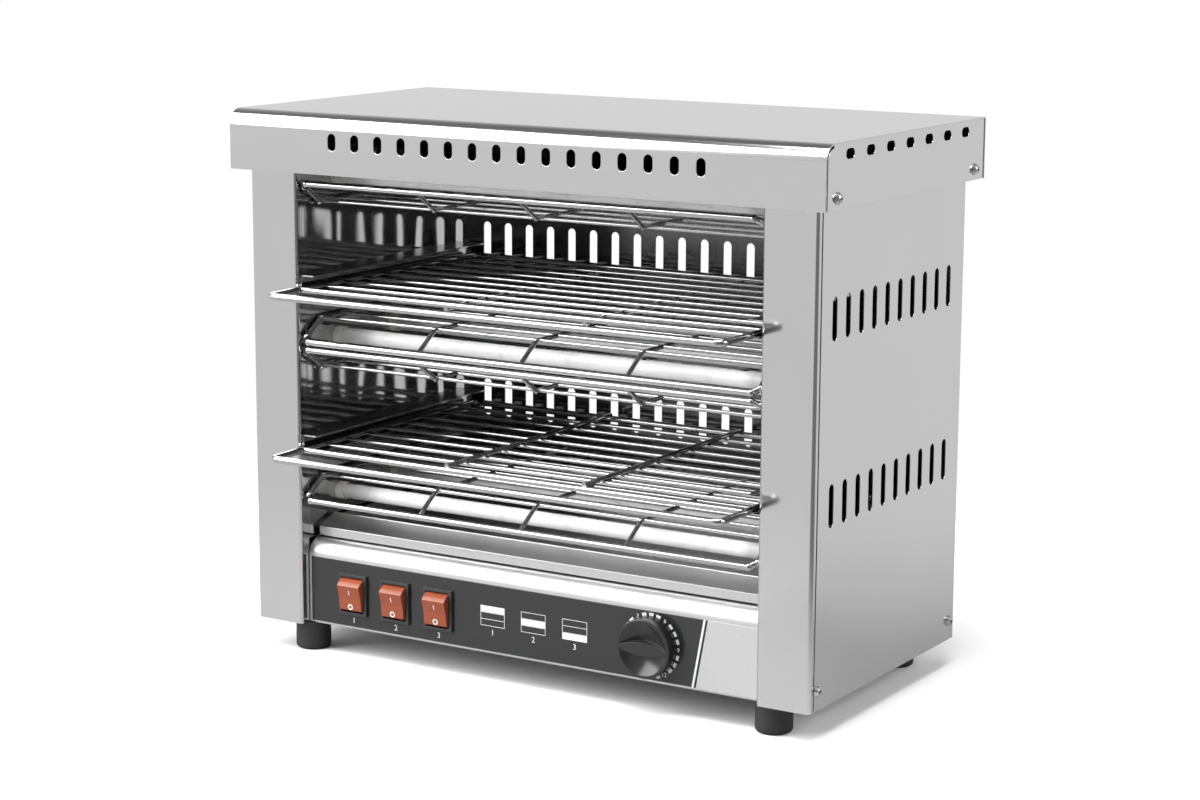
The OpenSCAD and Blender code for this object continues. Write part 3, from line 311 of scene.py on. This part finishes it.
FINISH = {
    "post": sheet_steel(
        "post_steel", 0.59, 0.12, 0.025, UPRIGHT_GRAIN, inner=(near_middle(BAY_HALF), 0.52, 0.06)
    ),
    "side": sheet_steel("side_steel", 0.60, 0.18, 0.03, UPRIGHT_GRAIN),
    # painted shade on the lid's inner faces
    "lid": sheet_steel(
        "lid_steel", 0.61, 0.12, 0.025, LEVEL_GRAIN,
        inner=(under_lid(lid_low, lid_high, SKIN, SIDE_SKIN, LID_BEND), *PAINTED_SHADE_INSIDE),
    ),
    "panel": sheet_steel("panel_steel", 0.58, 0.36, 0.05, LEVEL_GRAIN),
    "tray": sheet_steel("tray_steel", 0.62, 0.30, 0.04, LEVEL_GRAIN),
    "bright": sheet_steel("bright_steel", 0.52, 0.05, 0.02, LEVEL_GRAIN, THIN_EDGE, wave=WAVE),
    # painted shade on the reflector's upper face
    "roof": sheet_steel(
        "roof_steel", 0.52, 0.05, 0.02, LEVEL_GRAIN, THIN_EDGE, inner=(above(roof - SKIN), *PAINTED_SHADE_INSIDE), wave=WAVE
    ),
    "back": sheet_steel(
        "back_steel", 0.60, 0.18, 0.03, UPRIGHT_GRAIN, inner=(in_front(back_face - SKIN), 0.19, 0.12)
    ),
    "inner": sheet_steel("inner_steel", 0.50, 0.16, 0.03, LEVEL_GRAIN, THIN_EDGE),
    "wire": plated_wire("bright_wire", 0.45, 0.10),
    "screw": plated_wire("plated_screw", 0.55, 0.28),
    "quartz": milky_quartz("milky_quartz"),
    "ceramic": moulded("ceramic", (0.78, 0.76, 0.70), 0.55, 500, 0.05),
    "black": moulded("black_plastic", (0.016, 0.016, 0.017), 0.22),
    "bezel": moulded("bezel_plastic", (0.028, 0.029, 0.030), 0.30),
    "red": moulded("switch_red", (0.30, 0.062, 0.022), 0.30, 700, 0.02),
    "rubber": moulded("foot_rubber", (0.018, 0.018, 0.018), 0.55, 1400, 0.08),
    "ink": moulded("white_ink", (0.80, 0.80, 0.79), 0.45, 1500, 0.0),
    "film": printed_film("printed_film", film_low, film_high),
}

OWN_FINISH = {
    "top_cover": "lid", "control_fascia": "panel", "crumb_tray": "tray", "back_panel": "back",
    "top_reflector": "roof", "deck_plate": "bright", "front_lintel": "post", "terminal_block": "ceramic",
    "fascia_overlay": "film", "feet": "rubber", "timer_knob": "black", "timer_body": "black",
    "cable_gland": "black", "gland_nut": "black", "timer_shaft": "screw",
}
START_FINISH = {"rocker_": "red", "switch_": "bezel"}
END_FINISH = {
    "_post": "post", "side_cover": "side", "_liner": "bright", "_guard": "wire", "_rack": "wire",
    "_coils": "wire", "_end_caps": "ceramic", "_screws": "screw", "_nuts": "screw",
}


def finish_of(name):
    """The finish of a node, from its own name or from how the name starts or ends."""
    if name in OWN_FINISH:
        return OWN_FINISH[name]
    if "_tube_" in name:
        return "quartz"
    for start, finish in START_FINISH.items():
        if name.startswith(start):
            return finish
    for end, finish in END_FINISH.items():
        if name.endswith(end):
            return finish
    return "inner"


def dress(obj, finish):
    obj.data.materials.clear()
    obj.data.materials.append(FINISH[finish])


for name, obj in NODES.items():
    dress(obj, finish_of(name))


# Printed marks

# Height of a digit as a share of the font's size
DIGIT_SHARE = 0.70


class Marks:
    """Flat marks gathered into one mesh, drawn in two coordinates of a plane."""

    def __init__(self):
        self.points = []
        self.faces = []

    def polygon(self, points):
        start = len(self.points)
        self.points += [tuple(p) for p in points]
        self.faces.append(tuple(range(start, start + len(points))))

    def bar(self, x0, z0, x1, z1):
        self.polygon([(x0, z0), (x1, z0), (x1, z1), (x0, z1)])

    def frame(self, x0, z0, x1, z1, t):
        self.bar(x0, z0, x1, z0 + t)
        self.bar(x0, z1 - t, x1, z1)
        self.bar(x0, z0 + t, x0 + t, z1 - t)
        self.bar(x1 - t, z0 + t, x1, z1 - t)

    def arc(self, x, z, r0, r1, a0, a1, steps):
        """Part of a ring; angles in degrees from straight up, clockwise."""
        for i in range(steps):
            a, b = (math.radians(a0 + (a1 - a0) * k / steps) for k in (i, i + 1))
            self.polygon([
                (x + r0 * math.sin(a), z + r0 * math.cos(a)), (x + r1 * math.sin(a), z + r1 * math.cos(a)),
                (x + r1 * math.sin(b), z + r1 * math.cos(b)), (x + r0 * math.sin(b), z + r0 * math.cos(b)),
            ])

    def number(self, text, x, z, height):
        """Digits centred on a point."""
        curve = bpy.data.curves.new("digits", "FONT")
        curve.body = text
        curve.size = height / DIGIT_SHARE
        curve.resolution_u = 4
        holder = bpy.data.objects.new("digits", curve)
        bpy.context.scene.collection.objects.link(holder)
        bpy.context.view_layer.update()
        mesh = bpy.data.meshes.new_from_object(holder.evaluated_get(bpy.context.evaluated_depsgraph_get()))
        xs = [v.co.x for v in mesh.vertices]
        ys = [v.co.y for v in mesh.vertices]
        dx, dz = x - (min(xs) + max(xs)) / 2, z - (min(ys) + max(ys)) / 2
        start = len(self.points)
        self.points += [(v.co.x + dx, v.co.y + dz) for v in mesh.vertices]
        self.faces += [tuple(start + i for i in p.vertices) for p in mesh.polygons]
        bpy.data.objects.remove(holder)
        bpy.data.curves.remove(curve)
        bpy.data.meshes.remove(mesh)

    def build(self, name, body, to_frame):
        mesh = bpy.data.meshes.new(name)
        mesh.from_pydata([to_frame(*p) for p in self.points], [], self.faces)
        mesh.update()
        obj = bpy.data.objects.new(name, mesh)
        bpy.context.scene.collection.objects.link(obj)
        dress(obj, "ink")
        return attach(obj, body)


PRINT_LIFT = 0.06 * MM
joint_at = {j["name"]: Vector(j["pos_m"]) for j in frame["joints"] if "pos_m" in j}
rocker_at = [joint_at[f"rocker_{i}_tilt"] for i in (1, 2, 3)]
timer_at = joint_at["timer_turn"]

# Panel: a number under each rocker, and three pictograms with their numbers
NUMBER_H, LINE_W = 4.2 * MM, 0.35 * MM
ROCKER_NUMBER_DROP = 19.7 * MM
PICTOGRAM_X = (-27 * MM, 8 * MM, 43 * MM)
PICTOGRAM_W, PICTOGRAM_H = 20.8 * MM, 15.0 * MM
PICTOGRAM_Z, PICTOGRAM_NUMBER_Z = 50.4 * MM, 38.4 * MM

panel = Marks()
for i, at in enumerate(rocker_at, 1):
    panel.number(str(i), at.x, at.z - ROCKER_NUMBER_DROP, NUMBER_H)
for i, x in enumerate(PICTOGRAM_X, 1):
    x0, z0 = x - PICTOGRAM_W / 2, PICTOGRAM_Z - PICTOGRAM_H / 2
    x1, level = x0 + PICTOGRAM_W, PICTOGRAM_H / 3
    panel.frame(x0, z0, x1, z0 + PICTOGRAM_H, LINE_W)
    for z in (z0 + level, z0 + 2 * level):
        panel.bar(x0 + LINE_W, z - LINE_W / 2, x1 - LINE_W, z + LINE_W / 2)
    filled = z0 + level * (3 - i)
    panel.bar(x0 + LINE_W, filled + LINE_W, x1 - LINE_W, filled + level - LINE_W)
    panel.number(str(i), x, PICTOGRAM_NUMBER_Z, NUMBER_H)

# Dial: marks round the knob, with a number in place of every fourth one; angles in degrees
DIAL_R, DIAL_W, DIAL_NUMBER_H = 22.6 * MM, 2.2 * MM, 3.0 * MM
DIAL_ZERO, DIAL_STEP, DIAL_HALF_MARK = -87.0, 14.75, 4.6
DIAL_MARKS, MARKS_PER_NUMBER, NUMBER_STEP = 20, 4, 3

for i in range(1, DIAL_MARKS + 1):
    angle = DIAL_ZERO + i * DIAL_STEP
    if i % MARKS_PER_NUMBER:
        panel.arc(
            timer_at.x, timer_at.z, DIAL_R - DIAL_W / 2, DIAL_R + DIAL_W / 2,
            angle - DIAL_HALF_MARK, angle + DIAL_HALF_MARK, 4,
        )
    else:
        a = math.radians(angle)
        minutes = i // MARKS_PER_NUMBER * NUMBER_STEP
        panel.number(
            str(minutes), timer_at.x + DIAL_R * math.sin(a), timer_at.z + DIAL_R * math.cos(a), DIAL_NUMBER_H
        )
panel.build("panel_marks", "cabinet", lambda x, z: (x, film_low.y - PRINT_LIFT, z))

# Rockers: their tilt at rest, the distance of ridge and tips from the axis, and half their height
REST_TILT = math.radians(11)
RIDGE, TIP, ROCKER_R = 8.2 * MM, 9.2 * MM, 13.05 * MM
ON_W, ON_LOW, ON_HIGH = 0.7 * MM, 2.6 * MM, 6.4 * MM
OFF_Z, OFF_INNER_R, OFF_OUTER_R = -7.0 * MM, 1.3 * MM, 2.3 * MM


def on_rocker(at):
    """Places a mark on the face of the rocker whose axis is at this point."""
    def to_frame(x, z):
        y = -RIDGE - (TIP - RIDGE) * abs(z) / ROCKER_R - PRINT_LIFT
        return (
            at.x + x,
            at.y + y * math.cos(REST_TILT) - z * math.sin(REST_TILT),
            at.z + y * math.sin(REST_TILT) + z * math.cos(REST_TILT),
        )
    return to_frame


for i, at in enumerate(rocker_at, 1):
    marks = Marks()
    marks.bar(-ON_W / 2, ON_LOW, ON_W / 2, ON_HIGH)
    marks.arc(0, OFF_Z, OFF_INNER_R, OFF_OUTER_R, 0, 360, 24)
    marks.build(f"rocker_{i}_marks", f"rocker_{i}", on_rocker(at))


# Studio

# Direction of the studio's dim side, and the cosines between which it sets in
DIM_SIDE = (0.883, -0.469, 0.0)
DIM_FROM, DIM_FULL = 0.50, 0.68

# Floor paper from its darker to its lighter flecks, as the camera sees it and as steel mirrors it
FLOOR_HALF = 30.0
FLECKS = (40, 40, 40)
PAPER, MIRRORED_PAPER = (0.96, 0.98), (0.40, 0.44)

# The paper turns into a bright sweep between these distances from the middle
SWEEP_FROM, SWEEP_FULL = 0.22, 0.85
SWEEP, DIM_SWEEP = 0.86, 0.24

# The backdrop fades into the room between these heights, as sines of the elevation
BACKDROP, ROOM = 0.77, 0.20
FADE_FROM, FADE_FULL = 0.24, 0.80

# Soft boxes: place, width, height and watts
AIM = (0, 0, 0.2)
LAMPS = {
    "key_box": ((-1.72, -1.45, 1.55), 2.0, 2.3, 98),
    "right_box": ((2.6, 0.4, 1.5), 1.4, 1.4, 45),
    "top_box": ((0.1, -0.6, 2.2), 1.6, 1.2, 66),
}


def dim_side(tree, vector):
    """1 toward the dim side of the studio, 0 elsewhere, whatever the height."""
    level = vector_node(tree, "MULTIPLY", vector, (1, 1, 0))[0]
    unit = vector_node(tree, "NORMALIZE", level)[0]
    toward = vector_node(tree, "DOT_PRODUCT", unit, DIM_SIDE)["Value"]
    return ramp(tree, toward, DIM_FROM, DIM_FULL)


def seen_by_camera(tree):
    return node(tree, "ShaderNodeLightPath").outputs["Is Camera Ray"]


def studio_floor():
    """Large pale floor that runs into a white sweep; mirrored, it is darker and has the dim side."""
    mesh = bpy.data.meshes.new("floor")
    corners = [(-1, -1), (1, -1), (1, 1), (-1, 1)]
    mesh.from_pydata([(x * FLOOR_HALF, y * FLOOR_HALF, 0) for x, y in corners], [], [(0, 1, 2, 3)])
    floor = bpy.data.objects.new("floor", mesh)
    bpy.context.scene.collection.objects.link(floor)
    made, tree, shader = material("floor_paper")
    tree.nodes.remove(shader)
    out = next(n for n in tree.nodes if n.type == "OUTPUT_MATERIAL")
    away = vector_node(tree, "LENGTH", place(tree))["Value"]
    far = ramp(tree, away, SWEEP_FROM, SWEEP_FULL, interpolation_type="SMOOTHSTEP")
    seen = seen_by_camera(tree)
    flecks = noise(tree, FLECKS)
    paper = blend_values(tree, flecks, *PAPER)
    mirrored = blend_values(tree, flecks, *MIRRORED_PAPER)
    diffuse = node(tree, "ShaderNodeBsdfDiffuse", {"Color": blend_values(tree, seen, mirrored, paper)})
    around = blend_colours(tree, dim_side(tree, place(tree)), grey(SWEEP), grey(DIM_SWEEP))
    colour = blend_colours(tree, seen, around, grey(1.0))
    sweep = node(tree, "ShaderNodeEmission", {"Color": colour, "Strength": 1.0})
    mixed = node(tree, "ShaderNodeMixShader", {0: far, 1: diffuse.outputs[0], 2: sweep.outputs[0]})
    tree.links.new(mixed.outputs[0], out.inputs["Surface"])
    mesh.materials.append(made)


def studio_world():
    """White to the camera; for everything else a backdrop, open at the dim side, and a dim room."""
    world = bpy.data.worlds.new("studio")
    bpy.context.scene.world = world
    world.use_nodes = True
    tree = world.node_tree
    tree.nodes.clear()
    way = node(tree, "ShaderNodeTexCoord").outputs["Generated"]
    fade = ramp(tree, coordinates(tree, way)[2], FADE_FROM, FADE_FULL)
    low = math_node(tree, "SUBTRACT", 1.0, fade)
    lit = math_node(tree, "SUBTRACT", 1.0, dim_side(tree, way))
    room = blend_colours(tree, math_node(tree, "MULTIPLY", low, lit), grey(ROOM), grey(BACKDROP))
    colour = blend_colours(tree, seen_by_camera(tree), room, grey(1.0))
    back = node(tree, "ShaderNodeBackground", {"Color": colour, "Strength": 1.0})
    node(tree, "ShaderNodeOutputWorld", {"Surface": back.outputs[0]})


def soft_box(name, at, width, height, watts):
    light = bpy.data.lights.new(name, "AREA")
    light.shape = "RECTANGLE"
    light.size, light.size_y = width, height
    light.energy = watts
    lamp = bpy.data.objects.new(name, light)
    lamp.location = at
    lamp.rotation_mode = "QUATERNION"
    lamp.rotation_quaternion = (Vector(AIM) - Vector(at)).to_track_quat("-Z", "Y")
    bpy.context.scene.collection.objects.link(lamp)


# Camera, fitted to the edges of the cabinet and the lid; its distance is in millimetres and its focal
# length in pixels of the photograph
AZIMUTH, ELEVATION, ROLL = math.radians(31.517), math.radians(10.820), math.radians(0.262)
TARGET, DISTANCE = Vector((-2.71, 13.0, 195.14)) * MM, 2040.5
PHOTO_W, FOCAL_PX, SENSOR_W = 1200, 2752.2, 36.0


def studio_camera():
    back = Vector((
        math.sin(AZIMUTH) * math.cos(ELEVATION), -math.cos(AZIMUTH) * math.cos(ELEVATION), math.sin(ELEVATION)
    ))
    level = Vector((math.cos(AZIMUTH), math.sin(AZIMUTH), 0))
    upright = back.cross(level)
    right = level * math.cos(ROLL) + upright * math.sin(ROLL)
    up = upright * math.cos(ROLL) - level * math.sin(ROLL)
    lens = bpy.data.cameras.new("camera")
    lens.sensor_width = SENSOR_W
    lens.lens = SENSOR_W * FOCAL_PX / PHOTO_W
    camera = bpy.data.objects.new("camera", lens)
    turn = Matrix((right, up, back)).transposed().to_4x4()
    camera.matrix_world = Matrix.Translation(TARGET + back * DISTANCE * MM) @ turn
    bpy.context.scene.collection.objects.link(camera)
    bpy.context.scene.camera = camera


studio_floor()
studio_world()
for name, (at, width, height, watts) in LAMPS.items():
    soft_box(name, at, width, height, watts)
studio_camera()
bpy.context.scene.view_settings.view_transform = "Standard"
